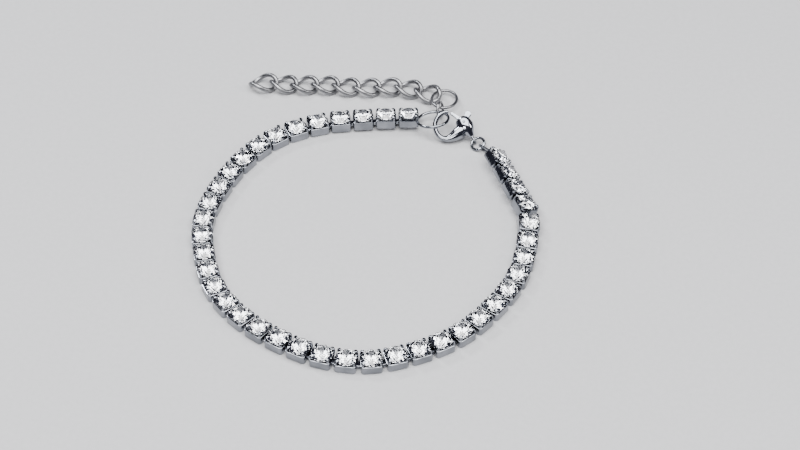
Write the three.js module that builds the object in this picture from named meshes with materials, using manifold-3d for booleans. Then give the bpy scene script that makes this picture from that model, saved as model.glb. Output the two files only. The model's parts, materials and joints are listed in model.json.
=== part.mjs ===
// Tennis bracelet, closed and lying flat: forty round brilliants in square four-claw cups, a lobster
// clasp, and a short extension chain of twisted links. Millimetres, +Z up, the floor at z = 0.

import * as THREE from 'three';
import { mergeVertices } from 'three/addons/utils/BufferGeometryUtils.js';
import Module from 'manifold-3d';

const wasm = await Module();
wasm.setup();

// Stones: a standard round brilliant cut
const STONE_COUNT = 40;
const STONE_DIAMETER = 3.5;
const TABLE_DIAMETER = 2.0;
const CROWN_HEIGHT = 0.525;
const GIRDLE_THICKNESS = 0.08;
const PAVILION_DEPTH = 1.5;
const STAR_REACH = 0.48;
const LOWER_HALF_REACH = 0.75;

// Cups: one for each stone, open below, with a claw on each corner
const CUP_GAP = 0.4;
const STONE_SPACING = 0.35;
const CUP_HEIGHT = 1.5;
const CUP_CORNER_CUT = 0.5;
const CULET_HEIGHT = 0.3;
const STONE_CLEARANCE = 0.12;
const CLAW_CLEARANCE = 0.2;
const CLAW_THICKNESS = 0.22;
const CLAW_WIDTH = 0.55;
const CLAW_TIP_WIDTH = 0.2;
const CLAW_TIP_THICKNESS = 0.2;
const CLAW_REACH = 0.33;
const CLAW_BACK_SHARE = 0.8;
const HINGE_WIDTH = 1.0;
const HINGE_HEIGHT = 0.5;
const HINGE_FOOT = 0.1;
const HINGE_SINK = 0.12;
const HINGE_CLEARANCE = 0.1;

// End loop on the first cup, and the two rings that lead to the extension chain
const END_LOOP = { length: 5.9, width: 5.5, wire: 0.5, sink: 0.2, height: 1.0, lean: -0.15 };
const END_LOOP_AIM = { u: 0.25, v: 0.75 };
const END_LOOP_HOLD = 92;
const SMALL_RING = { length: 3.1, width: 3.1, wire: 0.5 };
const LARGE_RING = { length: 5.8, width: 4.8, wire: 0.55, drop: 0.14 };
const LARGE_RING_AIM = { x: 13.5, y: 34.5 };
const LARGE_RING_HOLD = 72;
const FIRST_LINK = { play: 0.45, rise: 0.2, roll: 4 };
const LINK_PLAY = 0.1;

// Staple on the last cup and the ring between it and the clasp
const STAPLE = { gap: 0.85, wire: 0.38, height: 0.8 };
const TAIL_RING = { length: 2.75, width: 2.75, wire: 0.5, tilt: 25 };

// Lobster clasp, in its own plane: u to the right, v up, w out of the plane
const CLASP = { centre: [13.39, 24.11], height: 2.3, tilt: 40 };
const CLAW_HALF = { u: 1.95, v: 2.3 };
const CLAW_WIRE = 0.8;
const BODY_TOP = { u: 2.3, v: 1.5 };
const BODY_TAIL = { u: 4.3, v: -1.95 };
const BODY_WIDTH = 2.8;
const BODY_DEPTH = 2.0;
const EYE = { length: 1.5, width: 1.5, wire: 0.4 };
const PIVOT = { u: 2.85, v: 0.6 };
const PIN_RADIUS = 0.22;
const PIN_CLEARANCE = 0.08;
const RIVET_PROUD = 0.08;
const LEVER = { thickness: 0.6, hub: 0.6, arm: 0.76, armTip: 0.56, ear: 0.62, earTip: 1.15 };
const LEVER_CROTCH_SHARE = 1.05;
const LEVER_TIP_GAP = 0.12;
const LEVER_EAR_TIP = { u: 3.85, v: 2.45 };
const LEVER_OPENING = 25;
const SLOT_CLEARANCE = 0.1;

// Extension chain: twisted links, each through the next
const CHAIN_COUNT = 9;
const CHAIN_LINK = { length: 5.3, width: 4.1, wire: 0.8, twist: 45 };

// Sides and segments of the round pieces
const WIRE_SIDES = 6;
const RING_SEGMENTS = 16;
const CLAW_SIDES = 8;
const BODY_SIDES = 10;
const PIN_SIDES = 12;
const LEVER_ARC_SEGMENTS = 5;
const ROUTE_DIVISIONS = 2000;
const STAPLE_BEND_ANGLES = [60, 30, 0, -30, -60];

// The row's route from the first cup to the last: x and y of the cup's foot in millimetres, and how many
// degrees the cup rolls outward
const ROUTE = [
  { x: 7.0, y: 26.85, roll: 16 },
  { x: -0.4, y: 26.75, roll: 9 },
  { x: -8.2, y: 25.8, roll: 3 },
  { x: -15.4, y: 22.6, roll: 0 },
  { x: -20.6, y: 17.2, roll: 0 },
  { x: -24.3, y: 10.4, roll: 0 },
  { x: -26.5, y: 3.0, roll: 0 },
  { x: -26.1, y: -4.4, roll: 0 },
  { x: -23.9, y: -12.3, roll: 0 },
  { x: -19.6, y: -18.4, roll: 0 },
  { x: -13.8, y: -23.1, roll: 0 },
  { x: -7.0, y: -26.6, roll: 0 },
  { x: 0.4, y: -27.8, roll: 0 },
  { x: 8.1, y: -25.9, roll: 0 },
  { x: 14.7, y: -22.3, roll: 0 },
  { x: 20.0, y: -16.8, roll: 0 },
  { x: 24.1, y: -10.2, roll: 0 },
  { x: 26.0, y: -2.8, roll: 2 },
  { x: 26.1, y: 4.2, roll: 18 },
  { x: 24.6, y: 7.9, roll: 30 },
  { x: 21.3, y: 16.3, roll: 38 },
];

// The extension chain's route in millimetres, from the large ring to the free end
const CHAIN_ROUTE = [
  { x: 12.4, y: 33.5 },
  { x: 9.6, y: 35.0 },
  { x: 6.3, y: 35.9 },
  { x: 2.7, y: 35.8 },
  { x: -1.0, y: 35.7 },
  { x: -4.5, y: 36.3 },
  { x: -7.9, y: 36.5 },
  { x: -11.4, y: 36.3 },
  { x: -14.9, y: 37.1 },
  { x: -18.5, y: 36.7 },
];

// The claw's centreline from its tip round to its root in the body. u and v are shares of the claw's
// half width and half height; wide and deep are shares of the claw's wire.
const CLAW_ROWS = [
  { u: 0.16, v: 1.02, wide: 0.7, deep: 0.8 },
  { u: -0.2, v: 0.99, wide: 0.9, deep: 0.95 },
  { u: -0.62, v: 0.77, wide: 1.0, deep: 1.0 },
  { u: -0.93, v: 0.37, wide: 1.0, deep: 1.0 },
  { u: -1.0, v: -0.08, wide: 1.0, deep: 1.0 },
  { u: -0.84, v: -0.54, wide: 1.02, deep: 1.05 },
  { u: -0.48, v: -0.86, wide: 1.1, deep: 1.1 },
  { u: 0.0, v: -0.97, wide: 1.35, deep: 1.35 },
  { u: 0.46, v: -0.84, wide: 2.0, deep: 1.75 },
  { u: 0.95, v: -0.58, wide: 2.7, deep: 2.15 },
  { u: 1.4, v: -0.3, wide: 2.8, deep: 2.2 },
];

// The body from its top to its tail: along is a share of its length, wide and deep shares of its sizes
const BODY_ROWS = [
  { along: 0.0, wide: 0.5, deep: 0.5 },
  { along: 0.12, wide: 0.84, deep: 0.8 },
  { along: 0.38, wide: 1.0, deep: 1.0 },
  { along: 0.62, wide: 0.84, deep: 0.92 },
  { along: 0.82, wide: 0.5, deep: 0.64 },
  { along: 1.0, wide: 0.28, deep: 0.4 },
];

const STONE_RADIUS = STONE_DIAMETER / 2;
const TABLE_RADIUS = TABLE_DIAMETER / 2;
const GIRDLE_BOTTOM = CULET_HEIGHT + PAVILION_DEPTH;
const GIRDLE_TOP = GIRDLE_BOTTOM + GIRDLE_THICKNESS;
const TABLE_HEIGHT = GIRDLE_TOP + CROWN_HEIGHT;
const CROWN_SLOPE = CROWN_HEIGHT / (STONE_RADIUS - TABLE_RADIUS);
const PAVILION_SLOPE = PAVILION_DEPTH / STONE_RADIUS;
const PITCH = STONE_DIAMETER + STONE_SPACING;
const CUP_LENGTH = PITCH - CUP_GAP;
const CUP_WIDTH = STONE_DIAMETER;
const UP = new THREE.Vector3(0, 0, 1);

const STEEL = { color: 0x8b8e94, roughness: 0.14, metalness: 1.0 };
const SATIN_STEEL = { color: 0x74757a, roughness: 0.38, metalness: 1.0 };
const CRYSTAL = { color: 0xdfe4ee, roughness: 0.02, metalness: 0.0, transparent: true, opacity: 0.6 };

// Closed meshes and solids

function signedVolume(triangles) {
  const cross = new THREE.Vector3();
  return triangles.reduce((sum, [a, b, c]) => sum + a.dot(cross.crossVectors(b, c)) / 6, 0);
}

function geometryFromTriangles(triangles) {
  const outward = signedVolume(triangles) > 0;
  const points = triangles.flatMap(([a, b, c]) => (outward ? [a, b, c] : [a, c, b]));
  return mergeVertices(new THREE.BufferGeometry().setFromPoints(points));
}

function solidFrom(geometry) {
  const bare = new THREE.BufferGeometry();
  bare.setAttribute('position', geometry.getAttribute('position').clone());
  if (geometry.index) bare.setIndex(geometry.index.clone());
  const merged = mergeVertices(bare);
  const mesh = new wasm.Mesh({
    numProp: 3,
    vertProperties: new Float32Array(merged.getAttribute('position').array),
    triVerts: new Uint32Array(merged.index.array),
  });
  return new wasm.Manifold(mesh);
}

function geometryFromSolid(solid) {
  const mesh = solid.getMesh();
  const geometry = new THREE.BufferGeometry();
  geometry.setAttribute('position', new THREE.BufferAttribute(new Float32Array(mesh.vertProperties), 3));
  geometry.setIndex(new THREE.BufferAttribute(new Uint32Array(mesh.triVerts), 1));
  return geometry;
}

function placed(geometry, matrix) {
  return geometry.clone().applyMatrix4(matrix);
}

function quad(a, b, c, d) {
  return [[a, b, c], [a, c, d]];
}

// Skin between two rings of points
function band(lower, upper) {
  const triangles = [];
  for (let side = 0; side < lower.length; side++) {
    const next = (side + 1) % lower.length;
    triangles.push(...quad(lower[side], lower[next], upper[next], upper[side]));
  }
  return triangles;
}

// Skin over rings of points, closed by a flat cap on each end
function loft(rings) {
  const triangles = [];
  const count = rings[0].length;
  for (let row = 0; row + 1 < rings.length; row++) {
    triangles.push(...band(rings[row], rings[row + 1]));
  }
  const first = rings[0];
  const last = rings[rings.length - 1];
  for (let side = 1; side + 1 < count; side++) {
    triangles.push([first[0], first[side + 1], first[side]]);
    triangles.push([last[0], last[side], last[side + 1]]);
  }
  return geometryFromTriangles(triangles);
}

// Frames

function frame(position, along, up) {
  const xAxis = along.clone().normalize();
  const yAxis = new THREE.Vector3().crossVectors(up, xAxis).normalize();
  const zAxis = new THREE.Vector3().crossVectors(xAxis, yAxis);
  return new THREE.Matrix4().makeBasis(xAxis, yAxis, zAxis).setPosition(position);
}

function named(name, geometry, finish, matrix = new THREE.Matrix4()) {
  const mesh = new THREE.Mesh(geometry, new THREE.MeshStandardMaterial(finish));
  mesh.name = name;
  mesh.applyMatrix4(matrix);
  return mesh;
}

// Wire loops: a flat oval, or one whose two ends are twisted opposite ways like a curb link's

class TwistedOval extends THREE.Curve {
  constructor({ length, width, wire, twist = 0 }) {
    super();
    this.halfLength = (length - wire) / 2;
    this.halfWidth = (width - wire) / 2;
    this.twist = THREE.MathUtils.degToRad(twist);
  }

  getPoint(t, target = new THREE.Vector3()) {
    const turn = 2 * Math.PI * t;
    const lean = this.twist * Math.cos(turn);
    const side = this.halfWidth * Math.sin(turn);
    return target.set(this.halfLength * Math.cos(turn), side * Math.cos(lean), side * Math.sin(lean));
  }
}

function wireLoop(size) {
  const tube = new THREE.TubeGeometry(new TwistedOval(size), RING_SEGMENTS, size.wire / 2, WIRE_SIDES, true);
  tube.deleteAttribute('normal');
  tube.deleteAttribute('uv');
  return mergeVertices(tube);
}

function wireAlong(points, wire) {
  const curve = new THREE.CatmullRomCurve3(points, false, 'centripetal');
  const section = new THREE.Shape();
  for (let side = 0; side < WIRE_SIDES; side++) {
    const angle = (2 * Math.PI * side) / WIRE_SIDES;
    section[side ? 'lineTo' : 'moveTo']((wire / 2) * Math.cos(angle), (wire / 2) * Math.sin(angle));
  }
  const options = { steps: RING_SEGMENTS, extrudePath: curve, bevelEnabled: false };
  return new THREE.ExtrudeGeometry(section, options);
}

// Stone: table, stars, kites, halves, girdle, lower halves and mains, in its cup's frame

function polar(radius, degrees, height) {
  const angle = THREE.MathUtils.degToRad(degrees);
  return new THREE.Vector3(radius * Math.cos(angle), radius * Math.sin(angle), height);
}

function brilliantGeometry() {
  const folds = [...Array(8).keys()];
  const edge = Math.cos(Math.PI / 8);
  const starRadius = TABLE_RADIUS * edge + STAR_REACH * (STONE_RADIUS - TABLE_RADIUS * edge);
  const starHeight = TABLE_HEIGHT - CROWN_SLOPE * (starRadius * edge - TABLE_RADIUS);
  const lowerRadius = (1 - LOWER_HALF_REACH) * STONE_RADIUS;
  const lowerHeight = CULET_HEIGHT + PAVILION_SLOPE * lowerRadius * edge;
  const culet = new THREE.Vector3(0, 0, CULET_HEIGHT);
  const table = folds.map((k) => polar(TABLE_RADIUS, 45 * k, TABLE_HEIGHT));
  const star = folds.map((k) => polar(starRadius, 45 * k + 22.5, starHeight));
  const upper = [...Array(16).keys()].map((k) => polar(STONE_RADIUS, 22.5 * k, GIRDLE_TOP));
  const lower = [...Array(16).keys()].map((k) => polar(STONE_RADIUS, 22.5 * k, GIRDLE_BOTTOM));
  const half = folds.map((k) => polar(lowerRadius, 45 * k + 22.5, lowerHeight));
  const triangles = [];
  for (const k of folds) {
    const next = (k + 1) % 8;
    const before = (k + 7) % 8;
    const corner = 2 * k;
    const middle = 2 * k + 1;
    const after = (2 * k + 2) % 16;
    if (k > 0 && k < 7) triangles.push([table[0], table[k], table[k + 1]]);
    triangles.push([table[k], star[k], table[next]]);
    triangles.push(...quad(table[k], star[before], upper[corner], star[k]));
    triangles.push([star[k], upper[corner], upper[middle]], [star[k], upper[middle], upper[after]]);
    triangles.push(...quad(upper[corner], lower[corner], lower[middle], upper[middle]));
    triangles.push(...quad(upper[middle], lower[middle], lower[after], upper[after]));
    triangles.push([half[k], lower[middle], lower[corner]], [half[k], lower[after], lower[middle]]);
    triangles.push(...quad(culet, half[k], lower[corner], half[before]));
  }
  return geometryFromTriangles(triangles);
}

// Cup: a square wall with cut corners round an eight-sided bore, and a claw rising from each corner

function clawRings(diagonal, base) {
  const girdleRadius = STONE_RADIUS + CLAW_CLEARANCE;
  const tipRadius = STONE_RADIUS - CLAW_REACH;
  const tipHeight = GIRDLE_TOP + CROWN_SLOPE * CLAW_REACH + STONE_CLEARANCE;
  const across = (radius, offset, height) => {
    const point = new THREE.Vector3(radius, offset, height);
    return point.applyAxisAngle(UP, THREE.MathUtils.degToRad(diagonal));
  };
  const shoulder = GIRDLE_TOP + STONE_CLEARANCE / 2;
  const wide = CLAW_WIDTH / 2;
  const back = wide * CLAW_BACK_SHARE;
  const fine = CLAW_TIP_WIDTH / 2;
  const outerRadius = girdleRadius + CLAW_THICKNESS;
  const topRadius = tipRadius + STONE_CLEARANCE;
  return [
    base,
    [
      across(outerRadius, -back, shoulder),
      across(outerRadius, back, shoulder),
      across(girdleRadius, wide, shoulder),
      across(girdleRadius, -wide, shoulder),
    ],
    [
      across(topRadius, -fine, tipHeight + CLAW_TIP_THICKNESS),
      across(topRadius, fine, tipHeight + CLAW_TIP_THICKNESS),
      across(tipRadius, fine, tipHeight),
      across(tipRadius, -fine, tipHeight),
    ],
  ];
}

function cupOutline() {
  const a = CUP_LENGTH / 2;
  const b = CUP_WIDTH / 2;
  const c = CUP_CORNER_CUT;
  const quarter = [[a, b - c], [a - c, b], [c - a, b], [-a, b - c]];
  return [...quarter, ...quarter.map(([x, y]) => [-x, -y])];
}

function boreOutline() {
  const radius = (CUP_HEIGHT - CULET_HEIGHT) / PAVILION_SLOPE + STONE_CLEARANCE;
  const short = radius * Math.tan(Math.PI / 8);
  const quarter = [[radius, short], [short, radius], [-short, radius], [-radius, short]];
  return [...quarter, ...quarter.map(([x, y]) => [-x, -y])];
}

function cupGeometry() {
  const at = (outline, height) => outline.map(([x, y]) => new THREE.Vector3(x, y, height));
  const outerFoot = at(cupOutline(), 0);
  const outerRim = at(cupOutline(), CUP_HEIGHT);
  const innerFoot = at(boreOutline(), 0);
  const innerRim = at(boreOutline(), CUP_HEIGHT);
  const triangles = [];
  for (let k = 0; k < 8; k++) {
    const next = (k + 1) % 8;
    triangles.push(...quad(outerFoot[k], outerFoot[next], outerRim[next], outerRim[k]));
    triangles.push(...quad(innerFoot[next], innerFoot[k], innerRim[k], innerRim[next]));
    triangles.push(...quad(outerFoot[next], outerFoot[k], innerFoot[k], innerFoot[next]));
    const rim = [outerRim[k], outerRim[next], innerRim[next], innerRim[k]];
    if (k % 2) {
      triangles.push(...quad(...rim));
      continue;
    }
    const [root, shoulder, tip] = clawRings(45 + 45 * k, rim);
    triangles.push(...band(root, shoulder), ...band(shoulder, tip), ...quad(...tip));
  }
  return geometryFromTriangles(triangles);
}

// Cups stand on the floor along the route, each rolled outward about the row

function cupFrames() {
  const points = ROUTE.map(({ x, y }) => new THREE.Vector3(x, y, 0));
  const rolls = ROUTE.map(({ roll }, k) => new THREE.Vector3(k, roll, 0));
  const rough = new THREE.CatmullRomCurve3(points, false, 'centripetal');
  rough.arcLengthDivisions = ROUTE_DIVISIONS;
  const length = PITCH * (STONE_COUNT - 1);
  const grow = length / rough.getLength();
  const rollCurve = new THREE.CatmullRomCurve3(rolls, false, 'centripetal');
  const frames = [];
  for (let k = 0; k < STONE_COUNT; k++) {
    const share = k / (STONE_COUNT - 1);
    const along = rough.getTangentAt(share);
    const roll = THREE.MathUtils.degToRad(Math.max(0, rollCurve.getPoint(rough.getUtoTmapping(share)).y));
    const position = rough.getPointAt(share).multiplyScalar(grow);
    position.z = (CUP_WIDTH / 2) * Math.sin(roll);
    const up = UP.clone().applyAxisAngle(along, roll);
    frames.push(frame(position, along, up));
  }
  return frames;
}

function hingeEnd(cup, x) {
  const half = HINGE_WIDTH / 2;
  const top = HINGE_FOOT + HINGE_HEIGHT;
  const corners = [[-half, HINGE_FOOT], [half, HINGE_FOOT], [half, top], [-half, top]];
  return corners.map(([y, z]) => new THREE.Vector3(x, y, z).applyMatrix4(cup));
}

function hingeGeometry(from, to, fromX) {
  return loft([hingeEnd(from, fromX), hingeEnd(to, HINGE_SINK - CUP_LENGTH / 2)]);
}

function rowSolid(cups, first, last) {
  const cup = cupGeometry();
  const solids = [];
  for (let k = first; k < last; k++) {
    solids.push(solidFrom(placed(cup, cups[k])));
    const startsRow = k === first;
    if (k === 0) continue;
    const fromX = CUP_LENGTH / 2 + (startsRow ? HINGE_CLEARANCE : -HINGE_SINK);
    solids.push(solidFrom(hingeGeometry(cups[k - 1], cups[k], fromX)));
  }
  return wasm.Manifold.union(solids);
}

// End loop, fused to the first cup and passing round the claw

function endLoopFrame(firstCup) {
  const start = new THREE.Vector3(END_LOOP.sink - CUP_LENGTH / 2, 0, END_LOOP.height).applyMatrix4(firstCup);
  const along = claspPoint(END_LOOP_AIM.u, END_LOOP_AIM.v, 0).sub(start).normalize();
  const centre = start.clone().addScaledVector(along, END_LOOP.length / 2);
  return frame(centre, along, new THREE.Vector3(0, -END_LOOP.lean, 1));
}

// Where a ring's centre lies when it holds another wire inside its end

function linkReach(outer, innerWire) {
  return outer.length / 2 - outer.wire - innerWire / 2 - LINK_PLAY;
}

// Clasp frame and pieces

function claspFrame() {
  const tilt = THREE.MathUtils.degToRad(CLASP.tilt);
  const right = new THREE.Vector3(1, 0, 0);
  const upward = new THREE.Vector3(0, Math.cos(tilt), Math.sin(tilt));
  const outward = new THREE.Vector3().crossVectors(right, upward);
  const position = new THREE.Vector3(CLASP.centre[0], CLASP.centre[1], CLASP.height);
  return new THREE.Matrix4().makeBasis(right, upward, outward).setPosition(position);
}

function claspPoint(u, v, w) {
  return new THREE.Vector3(u, v, w).applyMatrix4(claspFrame());
}

function ovalRing(centre, tangent, halfWide, halfDeep, sides) {
  const across = new THREE.Vector3(tangent.y, -tangent.x, 0).normalize();
  return [...Array(sides).keys()].map((k) => {
    const angle = (2 * Math.PI * (k + 0.5)) / sides;
    return centre.clone()
      .addScaledVector(across, halfWide * Math.cos(angle))
      .addScaledVector(UP, halfDeep * Math.sin(angle));
  });
}

function clawGeometry() {
  const points = CLAW_ROWS.map(({ u, v }) => new THREE.Vector3(u * CLAW_HALF.u, v * CLAW_HALF.v, 0));
  const path = new THREE.CatmullRomCurve3(points);
  const rows = CLAW_ROWS.length - 1;
  const rings = CLAW_ROWS.map(({ wide, deep }, k) => {
    const tangent = path.getTangent(k / rows);
    return ovalRing(points[k], tangent, (wide * CLAW_WIRE) / 2, (deep * CLAW_WIRE) / 2, CLAW_SIDES);
  });
  return loft(rings);
}

function bodyAxis() {
  return new THREE.Vector3(BODY_TAIL.u - BODY_TOP.u, BODY_TAIL.v - BODY_TOP.v, 0);
}

function bodyGeometry() {
  const axis = bodyAxis();
  const tangent = axis.clone().normalize();
  const rings = BODY_ROWS.map(({ along, wide, deep }) => {
    const centre = new THREE.Vector3(BODY_TOP.u, BODY_TOP.v, 0).addScaledVector(axis, along);
    return ovalRing(centre, tangent, (wide * BODY_WIDTH) / 2, (deep * BODY_DEPTH) / 2, BODY_SIDES);
  });
  return loft(rings);
}

function eyeCentre() {
  const reach = (EYE.length - EYE.wire) / 2;
  return new THREE.Vector3(BODY_TAIL.u, BODY_TAIL.v, 0).addScaledVector(bodyAxis().normalize(), reach);
}

function eyeGeometry() {
  const across = new THREE.Vector3(-bodyAxis().y, bodyAxis().x, 0);
  return placed(wireLoop(EYE), frame(eyeCentre(), bodyAxis(), across));
}

function slab(shape, thickness) {
  const options = { depth: thickness, bevelEnabled: false, curveSegments: LEVER_ARC_SEGMENTS };
  return new THREE.ExtrudeGeometry(shape, options).translate(PIVOT.u, PIVOT.v, -thickness / 2);
}

function barrel(radius, length) {
  const cylinder = new THREE.CylinderGeometry(radius, radius, length, PIN_SIDES);
  return cylinder.rotateX(Math.PI / 2).translate(PIVOT.u, PIVOT.v, 0);
}

// Directions of the lever's arm and ear from its pivot, and the tips of both

function leverArms() {
  const clawTip = new THREE.Vector2(CLAW_ROWS[0].u * CLAW_HALF.u, CLAW_ROWS[0].v * CLAW_HALF.v);
  const pivot = new THREE.Vector2(PIVOT.u, PIVOT.v);
  const armTip = clawTip.clone().sub(pivot);
  armTip.setLength(armTip.length() - LEVER_TIP_GAP - LEVER.armTip / 2);
  armTip.x += LEVER_TIP_GAP;
  const earTip = new THREE.Vector2(LEVER_EAR_TIP.u, LEVER_EAR_TIP.v).sub(pivot);
  return { armTip, earTip };
}

function sideOf(vector, distance) {
  return new THREE.Vector2(vector.y, -vector.x).setLength(distance);
}

function leverGeometry() {
  const { armTip, earTip } = leverArms();
  const shape = new THREE.Shape();
  const armFar = armTip.clone().add(sideOf(armTip, LEVER.armTip / 2));
  const armNear = armTip.clone().sub(sideOf(armTip, LEVER.armTip / 2));
  const earFar = earTip.clone().add(sideOf(earTip, LEVER.earTip / 2));
  const earNear = earTip.clone().sub(sideOf(earTip, LEVER.earTip / 2));
  const between = armTip.clone().normalize().add(earTip.clone().normalize());
  const crotch = between.setLength(LEVER.hub * LEVER_CROTCH_SHARE);
  const startAngle = earTip.angle() - Math.asin(LEVER.ear / 2 / LEVER.hub);
  const endAngle = armTip.angle() + Math.asin(LEVER.arm / 2 / LEVER.hub) - 2 * Math.PI;
  shape.moveTo(armNear.x, armNear.y);
  shape.lineTo(armFar.x, armFar.y);
  shape.lineTo(crotch.x, crotch.y);
  shape.lineTo(earNear.x, earNear.y);
  shape.lineTo(earFar.x, earFar.y);
  shape.absarc(0, 0, LEVER.hub, startAngle, endAngle, true);
  const bore = barrel(PIN_RADIUS + PIN_CLEARANCE, 2 * LEVER.thickness);
  return geometryFromSolid(solidFrom(slab(shape, LEVER.thickness)).subtract(solidFrom(bore)));
}

// The slot in the body that the lever turns in, from its closed arm round to its open ear. It reaches
// past the body's surface on every side.
function slotGeometry() {
  const { armTip, earTip } = leverArms();
  const reach = BODY_WIDTH + BODY_DEPTH;
  const opened = earTip.clone().rotateAround(new THREE.Vector2(), -THREE.MathUtils.degToRad(LEVER_OPENING));
  const low = sideOf(armTip, -LEVER.arm / 2 - SLOT_CLEARANCE);
  const right = sideOf(opened, LEVER.earTip / 2 + SLOT_CLEARANCE);
  const lowEnd = low.clone().add(armTip.clone().setLength(reach));
  const rightEnd = right.clone().add(opened.clone().setLength(reach));
  const shape = new THREE.Shape();
  shape.moveTo(low.x, low.y);
  shape.lineTo(lowEnd.x, lowEnd.y);
  shape.lineTo(0, reach);
  shape.lineTo(rightEnd.x, rightEnd.y);
  shape.lineTo(right.x, right.y);
  return slab(shape, LEVER.thickness + 2 * SLOT_CLEARANCE);
}

function claspBodyGeometry() {
  const hubRoom = solidFrom(barrel(LEVER.hub + SLOT_CLEARANCE, LEVER.thickness + 2 * SLOT_CLEARANCE));
  const slotted = solidFrom(bodyGeometry()).subtract(solidFrom(slotGeometry()));
  const cast = wasm.Manifold.union([slotted, solidFrom(clawGeometry())]).subtract(hubRoom);
  const rivet = solidFrom(barrel(PIN_RADIUS, BODY_DEPTH + 2 * RIVET_PROUD));
  return geometryFromSolid(wasm.Manifold.union([cast, rivet, solidFrom(eyeGeometry())]));
}

// Tail ring through the clasp's eye, and the staple from the last cup through the tail ring

function tailRingFrame(lastCup) {
  const eye = eyeCentre().applyMatrix4(claspFrame());
  const cupEnd = new THREE.Vector3(CUP_LENGTH / 2, 0, STAPLE.height).applyMatrix4(lastCup);
  const towards = cupEnd.sub(eye).setZ(0).normalize();
  const up = UP.clone().applyAxisAngle(towards, THREE.MathUtils.degToRad(TAIL_RING.tilt));
  const centre = eye.addScaledVector(towards, (TAIL_RING.length - TAIL_RING.wire) / 2);
  return frame(centre, towards, up);
}

function stapleGeometry(lastCup) {
  const ringRadius = (TAIL_RING.length - TAIL_RING.wire) / 2;
  const tailRing = tailRingFrame(lastCup);
  const held = new THREE.Vector3(ringRadius, 0, 0).applyMatrix4(tailRing);
  const root = new THREE.Vector3(CUP_LENGTH / 2 - HINGE_SINK, 0, STAPLE.height).applyMatrix4(lastCup);
  const inward = root.clone().sub(held).normalize();
  const bend = held.clone().addScaledVector(inward, -(TAIL_RING.wire + STAPLE.wire) / 2 - LINK_PLAY);
  const half = (STAPLE.gap + STAPLE.wire) / 2;
  const spread = new THREE.Vector3().setFromMatrixColumn(tailRing, 1).cross(inward).normalize();
  const at = (from, along, side) => {
    return from.clone().addScaledVector(inward, along).addScaledVector(spread, side * half);
  };
  const points = [at(root, 0, 1), at(bend, half, 1)];
  for (const degrees of STAPLE_BEND_ANGLES) {
    const angle = THREE.MathUtils.degToRad(degrees);
    points.push(at(bend, half * (1 - Math.cos(angle)), Math.sin(angle)));
  }
  points.push(at(bend, half, -1), at(root, 0, -1));
  return wireAlong(points, STAPLE.wire);
}

// Each piece hangs from the one before: the small ring on the end loop, the large ring, then the chain
function ringFrames(endLoop) {
  const loop = new TwistedOval(END_LOOP);
  const share = END_LOOP_HOLD / 360;
  const farWire = loop.getPoint(share).applyMatrix4(endLoop);
  const wireway = loop.getTangent(share).transformDirection(endLoop);
  const aim = new THREE.Vector3(LARGE_RING_AIM.x, LARGE_RING_AIM.y, 0);
  const largeway = aim.sub(farWire).setZ(0).normalize().setZ(-LARGE_RING.drop).normalize();
  const outward = wireway.clone().cross(new THREE.Vector3().setFromMatrixColumn(endLoop, 2));
  const away = outward.add(largeway).normalize();
  const small = farWire.clone().addScaledVector(away, linkReach(SMALL_RING, END_LOOP.wire));
  const near = small.clone().addScaledVector(away, linkReach(SMALL_RING, LARGE_RING.wire));
  const large = near.clone().addScaledVector(largeway, (LARGE_RING.length - LARGE_RING.wire) / 2);
  return { small: frame(small, away, wireway), large: frame(large, largeway, UP) };
}

function chainJoints(largeRing) {
  const curve = new THREE.CatmullRomCurve3(CHAIN_ROUTE.map(({ x, y }) => new THREE.Vector3(x, y, 0)));
  const pitch = CHAIN_LINK.length - 2 * CHAIN_LINK.wire - LINK_PLAY;
  const grow = (pitch * CHAIN_COUNT) / curve.getLength();
  const origin = curve.getPoint(0);
  const linkEnd = (CHAIN_LINK.length - CHAIN_LINK.wire - pitch) / 2;
  const play = (CHAIN_LINK.wire + LARGE_RING.wire) / 2 + FIRST_LINK.play - linkEnd;
  const start = new TwistedOval(LARGE_RING).getPoint(LARGE_RING_HOLD / 360).applyMatrix4(largeRing);
  start.addScaledVector(curve.getTangent(0), -play).setZ(chainLinkDrop());
  return [...Array(CHAIN_COUNT + 1).keys()].map((k) => {
    return curve.getPointAt(k / CHAIN_COUNT).sub(origin).multiplyScalar(grow).add(start);
  });
}

// The first link hangs in the large ring, so its end there is raised and the link rolls a little
function chainFrames(largeRing) {
  const joints = chainJoints(largeRing);
  joints[0].z += FIRST_LINK.rise;
  return joints.slice(1).map((joint, k) => {
    const along = joints[k].clone().sub(joint).normalize();
    const roll = THREE.MathUtils.degToRad(k ? 0 : FIRST_LINK.roll);
    const up = UP.clone().applyAxisAngle(along, roll);
    return frame(joints[k].clone().lerp(joint, 0.5), along, up);
  });
}

function chainLinkDrop() {
  const box = new THREE.Box3().setFromBufferAttribute(wireLoop(CHAIN_LINK).getAttribute('position'));
  return -box.min.z;
}

// Assembly

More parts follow.
